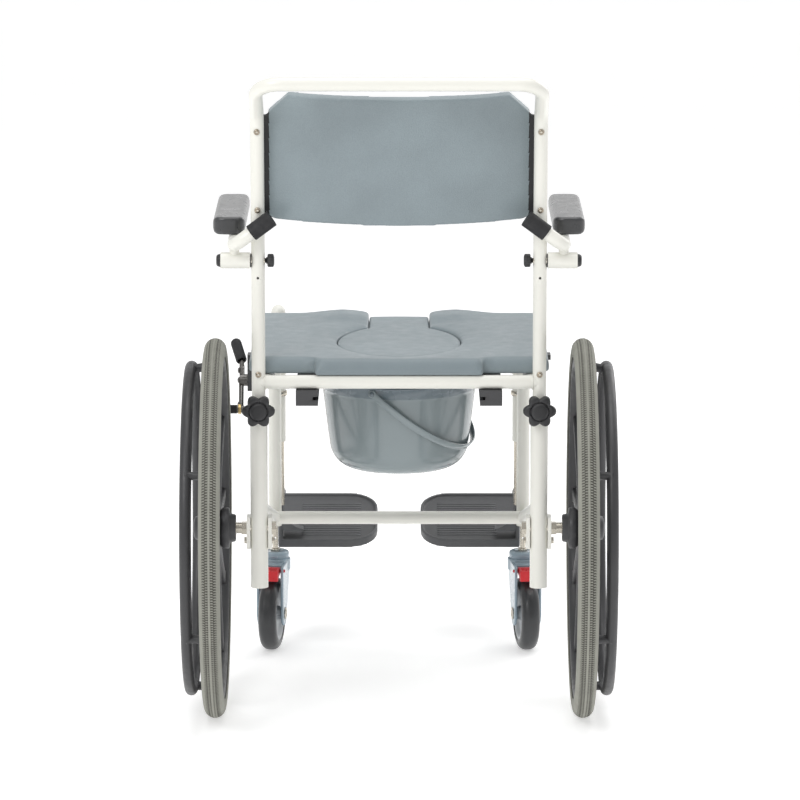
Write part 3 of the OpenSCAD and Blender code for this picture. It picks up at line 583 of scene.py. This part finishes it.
def mag_wheel(side, s):
    """Moulded wheel: flanged rim, tapering spokes and a stepped hub with a domed outer cap."""
    rim_low, rim_high = corners("wheel_rim_" + side)
    mid = (rim_low + rim_high) / 2
    half, outer = (rim_high.x - rim_low.x) / 2, (rim_high.z - rim_low.z) / 2
    inner = outer - 0.0125
    rim = lathe("rim_" + side, [
        (-half, outer), (-half, outer - 0.006), (-half + 0.0015, outer - 0.0085),
        (-half + 0.006, inner + 0.001), (-half + 0.010, inner), (half - 0.010, inner),
        (half - 0.006, inner + 0.001), (half - 0.0015, outer - 0.0085), (half, outer - 0.006),
        (half, outer), (-half, outer)], mid, X, 160)
    hub_low, hub_high = corners("wheel_spokes_" + side)
    inboard = hub_low.x if s > 0 else hub_high.x
    start = Vector((inboard, mid.y, mid.z))
    length = hub_high.x - hub_low.x
    hub = lathe("hub_" + side, [
        (0, 0.0142), (0, 0.0205), (0.0015, 0.022), (0.009, 0.0235), (0.0105, 0.0315), (0.012, 0.033),
        (0.0205, 0.033), (0.023, 0.031), (0.028, 0.026), (0.040, 0.0245), (length - 0.010, 0.023),
        (length - 0.001, 0.0225), (length, 0.0215), (length + 0.001, 0.0205), (length + 0.009, 0.0185),
        (length + 0.0115, 0.013), (length + 0.0128, 0.006), (length + 0.013, 0),
        (length + 0.0095, 0), (length + 0.0095, 0.0142), (0, 0.0142)], start, X * s, 64)
    parts = [rim, hub]
    spokes, steps = 12, 22
    root_r, tip_r = 0.020, inner + 0.002

    def section(i):
        f = i / steps
        flare = 0.007 * max(0, (f - 0.9) / 0.1) ** 2 + 0.006 * max(0, (0.16 - f) / 0.16) ** 2
        wide = 0.0066 - 0.0008 * math.sin(math.pi * f) + flare
        deep = 0.0078 - 0.0012 * math.sin(math.pi * f)
        return cut_corners(deep, wide, 0.0022)

    for k in range(spokes):
        t = 2 * math.pi * k / spokes
        out = Vector((0, -math.sin(t), math.cos(t)))
        path = [mid + out * (root_r + (tip_r - root_r) * i / steps) for i in range(steps + 1)]
        across = out.cross(X).normalized()
        parts.append(sweep(f"spoke_{side}_{k}", path, section, up=across))
    obj = join("mag_wheel_" + side, parts)
    dress(obj, rim_nylon, "wheel_" + side, "wheel_black", "wheel_rim_" + side, "wheel_spokes_" + side)


def push_rim(side, s):
    """Hand rim on six lugs that stand off the wheel."""
    node = "push_rim_" + side
    low, high = corners(node)
    tyre_mid = centre("tyre_" + side)
    outer = (high.z - low.z) / 2
    tube = 0.0095
    ring_x = (high.x - tube) if s > 0 else (low.x + tube)
    mid = Vector((ring_x, tyre_mid.y, tyre_mid.z))
    ring = [(tube * math.cos(2 * math.pi * i / 24), outer - tube + tube * math.sin(2 * math.pi * i / 24))
            for i in range(24)]
    parts = [lathe("ring_" + side, ring + ring[:1], mid, X, 180)]
    wheel_low, wheel_high = corners("wheel_rim_" + side)
    face = wheel_high.x - 0.001 if s > 0 else wheel_low.x + 0.001
    lugs, steps = 6, 10
    ear = arc(0, 0, 0.0095, 0, 360, 24)[:-1]

    def section(i):
        f = i / steps
        h = 0.0062 + 0.0025 * (2 * abs(f - 0.45)) ** 2
        return round_section(h, 16, 1.15)

    for k in range(lugs):
        t = 2 * math.pi * k / lugs
        out = Vector((0, -math.sin(t), math.cos(t)))
        along_rim = out.cross(X).normalized()
        base = Vector((face, mid.y, mid.z)) + out * (outer - tube + 0.003)
        tip = mid + out * (outer - tube)
        path = [base.lerp(tip, i / steps) for i in range(steps + 1)]

        def at(u, v, w):
            start = Vector((face + s * w, mid.y, mid.z))
            return start + out * (outer - tube + 0.002 + v * 0.8) + along_rim * u * 1.3

        parts.append(sweep(f"lug_{side}_{k}", path, section, up=out))
        parts.append(soften(prism(f"lug_foot_{side}_{k}", ear, 0, 0.003, at), 0.0008))
    obj = join("hand_rim_" + side, parts)
    dress(obj, push_coat, "wheel_" + side, "push_rim_black", node)


for side, s in SIDES:
    tyre(side)
    mag_wheel(side, s)
    push_rim(side, s)


# ---- knobs ----

def star_knob(side):
    """Six-lobed clamping knob with a raised middle."""
    at = joint("star_knob_turn_" + side)
    big, core_r, valley, lobe_count = 0.0265, 0.0165, 0.74, 6

    def lobes(t, a, r):
        if r < core_r:
            return r
        lobe = 0.5 - 0.5 * math.cos(lobe_count * t)
        return r * (valley + 0.26 * lobe ** 0.62)

    profile = [(0, 0), (0, 0.012), (0.0005, 0.0235), (0.0018, big - 0.0012), (0.0035, big), (0.0125, big),
               (0.0148, big - 0.0012), (0.0160, big - 0.0035), (0.0163, 0.0175), (0.0160, 0.0155),
               (0.0150, 0.0148), (0.0162, 0.0140), (0.0185, 0.0133), (0.0196, 0.0115), (0.0200, 0.008),
               (0.0201, 0)]
    knob = lathe("knob_" + side, profile, at, -Y, 144, lobes)
    dress(knob, plastic, "star_knob_" + side, "black_plastic", "star_knob_" + side)


def armrest_knob(side, s):
    """Small fluted knob on the inner side of the upright."""
    low, high = corners("armrest_knob_" + side)
    at = joint("armrest_knob_turn_" + side)
    inner = low.x if s > 0 else high.x
    outer = high.x if s > 0 else low.x
    radius = (high.z - low.z) / 2
    start = Vector((inner, at.y, at.z))
    flute, flute_count = 0.0007, 14
    stud_l, stud_r = abs(outer - inner), 0.0038

    def flutes(t, a, r):
        return r - flute * max(0, math.cos(flute_count * t)) ** 2 if r > radius * 0.93 else r

    profile = [(0, 0), (0, 0.006), (0.0005, radius - 0.0022), (0.0016, radius - 0.0005), (0.003, radius),
               (0.0095, radius), (0.0106, radius - 0.001), (0.011, radius - 0.003), (0.011, 0.0055),
               (0.0128, 0.0052), (0.0128, stud_r), (stud_l, stud_r), (stud_l, 0)]
    obj = lathe("thumb_knob_" + side, profile, start, X * s, 112, flutes)
    dress(obj, plastic, "armrest_knob_" + side, "black_plastic", "armrest_knob_" + side)


for side, s in SIDES:
    star_knob(side)
    armrest_knob(side, s)


# ---- pan ----

def pan():
    """Deep tapering pan with a rolled rim over a plain band; band and rim are painted a darker grey, a
    painted shade for the shadow under the seat.
    """
    low, high = corners("pan")
    mid = (low + high) / 2
    rim_r = min(high.x - low.x, high.y - low.y) / 2
    depth = high.z - low.z
    wall = 0.003
    body = rim_r - 0.0094
    foot_r, shaded_from_z, boss_x = 0.042, low.z + 0.1312, 0.1215
    outer = [(0, 0), (0, 0.064)]
    outer += [(foot_r - foot_r * math.cos(math.radians(a)),
               0.0719 + foot_r * math.sin(math.radians(a))) for a in range(8, 84, 7)]
    outer += [(0.060, 0.1166), (0.090, 0.1203), (0.126, 0.1247), (0.1314, 0.1254), (0.1322, 0.1262),
              (0.1334, 0.1270), (depth - 0.0045, body), (depth - 0.0040, rim_r - 0.0025),
              (depth - 0.0030, rim_r - 0.0005), (depth - 0.0016, rim_r), (depth - 0.0003, rim_r - 0.0012),
              (depth, rim_r - 0.003), (depth, body - 0.0005), (depth - 0.0015, body - wall)]
    inner = [(0.1325, 0.1238), (0.120, 0.1210), (0.060, 0.1136), (0.036, 0.1100), (0.020, 0.1010),
             (0.010, 0.0900), (0.0045, 0.0770), (wall, 0.062), (wall, 0)]
    obj = lathe("pan_bowl", outer + inner, Vector((mid.x, mid.y, low.z)), Z, 160)
    pins = joint("pan_handle_swing")
    axis = joint_axis("pan_handle_swing")
    profile = [(0, 0), (0, 0.0024), (0.0142, 0.0024), (0.0142, 0.0040), (0.0152, 0.0036), (0.0156, 0)]
    bosses = [lathe(f"boss_{k}", profile, pins + axis * k * boss_x, axis * k, 40) for k in (-1, 1)]
    obj = join("pan_bowl", [obj] + bosses)
    dress(obj, pan_gloss, "pan", "pan_grey", "pan")
    # Faces above the band's lower edge take the darker grey: painted shade for the shadow under the seat
    obj.data.materials.append(pan_painted_shade)
    for polygon in obj.data.polygons:
        if polygon.center.z > shaded_from_z:
            polygon.material_index = 1


def pan_handle():
    """Flat moulded strap, wider at its eyes, hanging from two pins."""
    pins = joint("pan_handle_swing")
    axis = joint_axis("pan_handle_swing")
    points = [v.co for v in nodes["pan_handle"].data.vertices]
    far = max(points, key=lambda co: (co - pins - axis * (co - pins).dot(axis)).length)
    reach_dir = far - pins
    reach_dir = (reach_dir - axis * reach_dir.dot(axis)).normalized()
    inset, span, eye_back = 0.0018, 0.1330, 0.0017
    reach = (far - pins).dot(reach_dir) - inset
    thick = axis.cross(reach_dir).normalized()
    steps = 72
    path = [pins + axis * span * math.cos(math.pi * i / steps)
            + reach_dir * reach * math.sin(math.pi * i / steps) for i in range(steps + 1)]
    parts = [sweep("strap", path, cut_corners(0.0015, 0.0056, 0.0007), up=thick)]
    profile = [(0, 0.0027), (0, 0.0058), (0.0008, 0.0066), (0.0026, 0.0066), (0.0034, 0.0058),
               (0.0034, 0.0027), (0, 0.0027)]
    for k in (-1, 1):
        start = pins + axis * k * (span - eye_back)
        parts.append(lathe(f"eye_{k}", profile, start, axis * k, 40))
    obj = join("pan_strap_handle", parts)
    dress(obj, pan_gloss, "pan_handle", "pan_grey", "pan_handle")


pan()
pan_handle()


# ---- castors ----

def castor(side, s):
    """Fork housing with its collar and axle caps, tread, core and red brake pedal."""
    stem = joint("castor_swivel_" + side)
    hub = joint("castor_roll_" + side)
    trail = Vector((hub.x - stem.x, hub.y - stem.y, 0)).normalized()
    across = Vector((trail.y, -trail.x, 0)) * s
    top = corners("castor_fork_" + side)[1].z

    fork = foam_copy("castor_housing_" + side, "castor_fork_" + side, 0.0013, 7)
    dress(fork, castor_gloss, "castor_fork_" + side, "castor_grey", "castor_fork_" + side)
    bore_r, collar_low = 0.0102, top - 0.0135
    profile = [(0, bore_r), (0, 0.0215), (0.0012, 0.0232), (0.0100, 0.0232), (0.0128, 0.0220),
               (0.0140, 0.0195), (0.0142, bore_r), (0, bore_r)]
    collar = lathe("castor_collar_" + side, profile, (stem.x, stem.y, collar_low), Z, 72)
    dress(collar, castor_gloss, "castor_fork_" + side, "castor_grey")
    profile = [(0, 0), (0, 0.0095), (0.0012, 0.0105), (0.0022, 0.0095), (0.0026, 0.006),
               (0.0016, 0.0052), (0.0016, 0)]
    fork_half = 0.0226
    for k in (-1, 1):
        cap = lathe(f"castor_axle_{side}_{'in' if k < 0 else 'out'}", profile,
                    hub + across * k * fork_half, across * k, 48)
        dress(cap, steel, "castor_fork_" + side, "nickel_steel")

    radius, half, arc_r = hub.z, 0.0155, 0.0125
    profile = [(-half + 0.001, 0.046), (-half, 0.048), (-half, radius - arc_r)]
    profile += [(-half + arc_r - arc_r * math.cos(math.radians(a)),
                 radius - arc_r + arc_r * math.sin(math.radians(a))) for a in range(12, 91, 13)]
    profile += [(-a, r) for a, r in reversed(profile)]
    tread = lathe("castor_tyre_" + side, profile + profile[:1], hub, across, 112)
    dress(tread, tread_pu, "castor_wheel_" + side, "castor_tread", "castor_tread_" + side)
    core_half = [(-0.0165, 0.0042), (-0.0165, 0.010), (-0.0155, 0.0112), (-0.009, 0.0135), (-0.0075, 0.016),
                 (-0.0075, 0.036), (-0.009, 0.0385), (-0.0130, 0.040), (-0.0140, 0.0415), (-0.0140, 0.0461)]
    core = core_half + [(-a, r) for a, r in reversed(core_half)]
    disc = lathe("castor_core_" + side, core + core[:1], hub, across, 96)
    dress(disc, castor_hub, "castor_wheel_" + side, "castor_core", "castor_wheel_" + side)

    pin = joint("castor_pedal_press_" + side)
    half_w = 0.0163

    def at(u, v, w):
        return pin + trail * u + Z * v + across * w

    outline = [(-0.006, -0.004), (0.004, -0.0078), (0.0138, -0.0086), (0.0146, -0.0132), (0.0158, -0.0140),
               (0.0228, -0.0140), (0.0240, -0.0128), (0.0240, 0.0035),
               (0.0225, 0.0050), (0.004, 0.0056), (-0.004, 0.0056), (-0.006, 0.002)]
    parts = [soften(prism("block", outline, -half_w, half_w, at), 0.0014)]
    rib_pitch, rib_half = 0.0042, half_w - 0.003
    for k in range(4):
        u = 0.007 + rib_pitch * k
        rib = [(u, 0.0045), (u + 0.0018, 0.0045), (u + 0.0015, 0.0060), (u + 0.0003, 0.0060)]
        parts.append(soften(prism(f"rib_{k}", rib, -rib_half, rib_half, at), 0.0003))
    pin_l, pin_r = 0.0500, 0.0025
    parts.append(lathe("pin", [(0, 0), (0, pin_r), (pin_l, pin_r), (pin_l, 0)],
                       pin - across * pin_l / 2, across, 20))
    pedal = join("brake_pedal_" + side, parts)
    dress(pedal, pedal_gloss, "castor_pedal_" + side, "pedal_red", "castor_pedal_" + side)


for side, s in SIDES:
    castor(side, s)


# ---- footplates ----

def footplate(side, s):
    """Moulded plate with a raised lip, fine ribs and a corner that sweeps up to its hinge."""
    node = "footplate_" + side
    low, high = corners(node)
    hinge = joint("footplate_flip_" + side)
    obj = foam_copy("footplate_moulding_" + side, node, 0.0016, 6)
    tilt = math.radians(19)
    rear_y = low.y + 0.0053
    floor, rib_count, first_rib, rib_pitch = 0.0108, 15, 0.024, 0.0074
    rib_section = [(-0.0016, -0.001), (0.0016, -0.001), (0.0013, 0.0008), (0.0006, 0.0013),
                   (-0.0006, 0.0013), (-0.0013, 0.0008)]
    slope = Vector((0, math.cos(tilt), math.sin(tilt)))
    up = Vector((0, -math.sin(tilt), math.cos(tilt)))
    origin = Vector((0, rear_y, low.z))
    inner = min(abs(low.x), abs(high.x))
    outer = max(abs(low.x), abs(high.x))
    parts = [obj]
    width = outer - inner
    near, far = inner + width * 0.16, inner + width * 0.73
    for k in range(rib_count):
        start = origin + slope * (first_rib + k * rib_pitch) + up * floor
        path = [start + X * s * (near + (far - near) * i / 8) for i in range(9)]
        parts.append(sweep(f"rib_{k}", path, rib_section, up=up))
    web_half, web_top, foot_l, foot_h = 0.0035, 0.062, 0.036, 0.047
    web = [(web_half, 0.012), (web_half, web_top)]
    web += [(-web_half - foot_l * (1 - math.cos(math.radians(a))),
             web_top - foot_h * math.sin(math.radians(a))) for a in range(0, 91, 10)]
    web += [(-0.0395, 0.010)]

    def at(u, v, w):
        return Vector((s * (abs(hinge.x) - 0.0015 + u), hinge.y + w, origin.z + 0.018 + v))

    parts.append(soften(prism("web", web, -0.014, 0.013, at), 0.002))
    obj = join("footplate_moulding_" + side, parts)
    dress(obj, plate_nylon, "footplate_" + side, "footplate_grey", node)


def hanger_latch(side, s):
    """Nickel ring and black thumb button part-way down the swing-away post."""
    post = joint("footrest_swing_" + side)
    height, r = 0.431, 0.0122
    ring_z, button_z = height - 0.004, height + 0.012
    profile = [(0, r), (0, r + 0.0018), (0.0008, r + 0.0026), (0.0072, r + 0.0026),
               (0.008, r + 0.0018), (0.008, r), (0, r)]
    ring = lathe("latch_ring_" + side, profile, (post.x, post.y, ring_z), Z, 48)
    dress(ring, steel, "footrest_hanger_" + side, "nickel_steel")
    profile = [(0, 0), (0, 0.0052), (0.0060, 0.0052), (0.0074, 0.0044), (0.0080, 0.0028), (0.0081, 0)]
    button = lathe("latch_button_" + side, profile, (post.x - s * r, post.y, button_z), -X * s, 32)
    dress(button, plastic, "footrest_hanger_" + side, "black_plastic")


for side, s in SIDES:
    footplate(side, s)
    hanger_latch(side, s)


# ---- brake ----

def brake():
    """Toggle lever: bent rod, two links on rivets, a sleeve that presses on the tyre, a hollow grip."""
    pivot = joint("brake_lever_turn")
    low = corners("brake_lever")[0]
    parts = []

    def link(name, x, a, b, r, thick):
        """Flat link with round ends in the YZ plane."""
        d = Vector((0, b[0] - a[0], b[1] - a[1]))
        angle = math.degrees(math.atan2(d.z, d.y))
        outline = arc(a[0], a[1], r, angle + 90, angle + 270, 10)
        outline += arc(b[0], b[1], r, angle - 90, angle + 90, 10)
        return soften(prism(name, outline, 0, thick, lambda u, v, w: Vector((x - w, u, v))), 0.0006)

    elbow = (pivot.y + 0.013, pivot.z + 0.014)
    lower_end = (pivot.y - 0.006, low.z + 0.012)
    parts.append(link("link_upper", pivot.x + 0.0040, (pivot.y, pivot.z), elbow, 0.0085, 0.0035))
    parts.append(link("link_lower", pivot.x - 0.0020, (pivot.y + 0.004, pivot.z - 0.002), lower_end,
                      0.0065, 0.0030))
    rivet = [(0, 0), (0, 0.0052), (0.0012, 0.0050), (0.0028, 0.0036), (0.0033, 0.0015), (0.0035, 0)]
    for y, z in ((pivot.y, pivot.z), elbow, lower_end):
        parts.append(lathe("rivet", rivet, (pivot.x - 0.0042, y, z), -X, 24))
    plates = join("brake_links", parts)
    dress(plates, lever_steel, "brake_lever", "brake_steel")
    nodes["brake_lever"].data.materials.clear()
    nodes["brake_lever"].data.materials.append(lever_steel)

    outermost = [v.co for v in nodes["brake_lever"].data.vertices if v.co.x < low.x + 0.0005]
    shoe_y = sum(co.y for co in outermost) / len(outermost)
    shoe_z = sum(co.z for co in outermost) / len(outermost)
    inboard = pivot.x - 0.0075
    length = inboard - low.x + 0.0006
    sleeve_r, end_r, nut_r, nut_l = 0.0072, 0.0066, 0.0085, 0.005
    profile = [(0, 0), (0, end_r), (0.0006, sleeve_r), (length - 0.0012, sleeve_r), (length, end_r),
               (length, 0)]
    sleeve = lathe("brake_shoe_sleeve", profile, (inboard, shoe_y, shoe_z), -X, 36)
    dress(sleeve, rubber, "brake_lever", "black_rubber")
    nut = lathe("brake_shoe_nut", [(0, 0), (0, nut_r), (nut_l, nut_r), (nut_l, 0)],
                (pivot.x - 0.0008, shoe_y, shoe_z), -X, 6)
    dress(soften(nut, 0.0006), brass, "brake_lever", "nickel_steel")

    # The grip's middle line, from its open lower end to its rounded top
    base = pivot + Vector((-0.001, 0.024, 0.028))
    top = pivot + Vector((-0.013, 0.056, 0.058))
    grip_axis = (top - base).normalized()
    long = (top - base).length
    r = 0.009
    ridge, ridge_count, dome = 0.00035, 28, 0.0075

    def ridges(t, a, radius):
        if radius > r * 0.96 and a > 0.003:
            return radius - ridge * (0.5 + 0.5 * math.cos(ridge_count * t))
        return radius

    profile = [(0.016, 0), (0.016, 0.0042), (0.0015, 0.0062), (0, 0.0075), (0.0005, r - 0.0006),
               (0.0020, r), (0.008, r), (0.014, r), (0.020, r), (0.026, r), (0.032, r), (long - dome, r)]
    profile += [(long - dome + dome * math.sin(math.radians(a)),
                 r * (0.15 + 0.85 * math.cos(math.radians(a)))) for a in (25, 50, 72)] + [(long, 0)]
    grip = lathe("brake_hand_grip", profile, base, grip_axis, 112, ridges)
    dress(grip, rubber, "brake_lever", "black_rubber", "brake_grip")


brake()


# ---- screws and nuts ----

def screw_head(name, at, direction, radius=0.0050, tall=0.0026):
    """Domed head with a hexagon socket, lined in black as painted shade for its recess."""
    rim, socket_low, socket_top = 0.0005, tall - 0.0016, tall - 0.0002
    profile = [(0, 0), (0, radius), (rim, radius)]
    profile += [(rim + (tall - rim) * math.sin(math.radians(a)), radius * math.cos(math.radians(a)) ** 0.8)
                for a in (20, 40, 58)]
    profile += [(tall, radius * 0.45), (socket_top, radius * 0.36)]
    dome = lathe("dome", profile, at, direction, 36)
    # Black lining of the socket: painted shade in the recess
    profile = [(socket_top, radius * 0.37), (socket_low, radius * 0.36), (socket_low, 0)]
    socket = lathe("socket", profile, at, direction, 6)
    dress(socket, plastic, "frame", "black_plastic")
    socket.name = name + "_shaded_socket"
    dome.name = name
    return dome


def screw_groups(points):
    """Points of one side's screws, split wherever the height jumps."""
    gap = 0.008
    ranked = sorted(points, key=lambda co: co.z)
    groups = [ranked[:1]]
    for before, co in zip(ranked, ranked[1:]):
        if co.z - before.z > gap:
            groups.append([])
        groups[-1].append(co)
    return groups


BEND_HEIGHT, BACK_LEAN, HEAD_SUNK = 0.78, math.radians(7.2), 0.0018
heads = [v.co.copy() for v in nodes["frame_screws"].data.vertices]
for side, s in SIDES:
    for number, points in enumerate(screw_groups([co for co in heads if co.x * s > 0])):
        lowest_y = min(p.y for p in points)
        face = [p for p in points if p.y < lowest_y + 0.0012]
        at = sum(face, Vector()) / len(face)
        lean = BACK_LEAN if at.z > BEND_HEIGHT else 0
        direction = Vector((0, -math.cos(lean), math.sin(-lean)))
        head = screw_head(f"screw_head_{side}_{number}", at - direction * HEAD_SUNK, direction)
        dress(head, screw_steel, "frame", "nickel_steel")


# ---- floor, light and camera ----

FLOOR_HALF, FLOOR_NEAR, FLOOR_LENGTH, CURVE_RADIUS, FLOOR_STEPS = 16, -14, 24, 6, 24
floor_data = bpy.data.meshes.new("studio_floor")
bm = bmesh.new()
rows = []
for i in range(FLOOR_STEPS + 1):
    f = i / FLOOR_STEPS
    if f < 0.5:
        y, z = FLOOR_NEAR + FLOOR_LENGTH * f * 2, 0
    else:
        a = (f - 0.5) * math.pi
        y = FLOOR_NEAR + FLOOR_LENGTH + CURVE_RADIUS * math.sin(a)
        z = CURVE_RADIUS - CURVE_RADIUS * math.cos(a)
    rows.append([bm.verts.new((-FLOOR_HALF, y, z)), bm.verts.new((FLOOR_HALF, y, z))])
for a, b in zip(rows, rows[1:]):
    bm.faces.new((a[0], a[1], b[1], b[0]))
bm.to_mesh(floor_data)
bm.free()
floor = bpy.data.objects.new("studio_floor", floor_data)
bpy.context.scene.collection.objects.link(floor)
for polygon in floor_data.polygons:
    polygon.use_smooth = True
floor_paper = finish("studio_paper", (0.9, 0.9, 0.9, 1), 0.8, (60, 0.00002), 0.004, 2,
                     Emission_Color=(1, 1, 1, 1), Emission_Strength=0.42)
floor_data.materials.append(floor_paper)

scene = bpy.context.scene
world = bpy.data.worlds.new("studio")
scene.world = world
world.use_nodes = True
world.node_tree.nodes["Background"].inputs["Color"].default_value = (1, 1, 1, 1)
world.node_tree.nodes["Background"].inputs["Strength"].default_value = 0.56
scene.view_settings.view_transform = "Standard"
scene.view_settings.exposure = 0.0

whole_low, whole_high = (Vector(c) for c in cad_box)
middle = (whole_low + whole_high) / 2


def softbox(name, place, size, power, target=middle):
    light = bpy.data.lights.new(name, "AREA")
    light.shape, light.size, light.size_y, light.energy = "RECTANGLE", size[0], size[1], power
    lamp = bpy.data.objects.new(name, light)
    scene.collection.objects.link(lamp)
    lamp.location = place
    lamp.rotation_euler = (Vector(target) - lamp.location).to_track_quat("-Z", "Y").to_euler()
    return lamp


softbox("key", (-2.2, -3.2, 3.4), (2.2, 2.2), 70)
softbox("top", (0.3, 0.2, 4.0), (3.0, 3.0), 60)
softbox("front", (2.4, 2.6, 2.2), (2.0, 2.0), 30)

AIM_HEIGHT = 0.514
DISTANCE = 8.1
ELEVATION = math.radians(10.5)
FOCAL_PIXELS = 5062.5
PICTURE_WIDTH = 800
aim = Vector((0.0016, (leg["left"].y + leg["right"].y) / 2, AIM_HEIGHT))
camera_data = bpy.data.cameras.new("camera")
camera_data.sensor_width = 36
camera_data.lens = FOCAL_PIXELS * camera_data.sensor_width / PICTURE_WIDTH
camera_data.clip_end = 100
camera = bpy.data.objects.new("camera", camera_data)
scene.collection.objects.link(camera)
camera.location = aim + Vector((0, -math.cos(ELEVATION), math.sin(ELEVATION))) * DISTANCE
camera.rotation_euler = (aim - camera.location).to_track_quat("-Z", "Y").to_euler()
scene.camera = camera
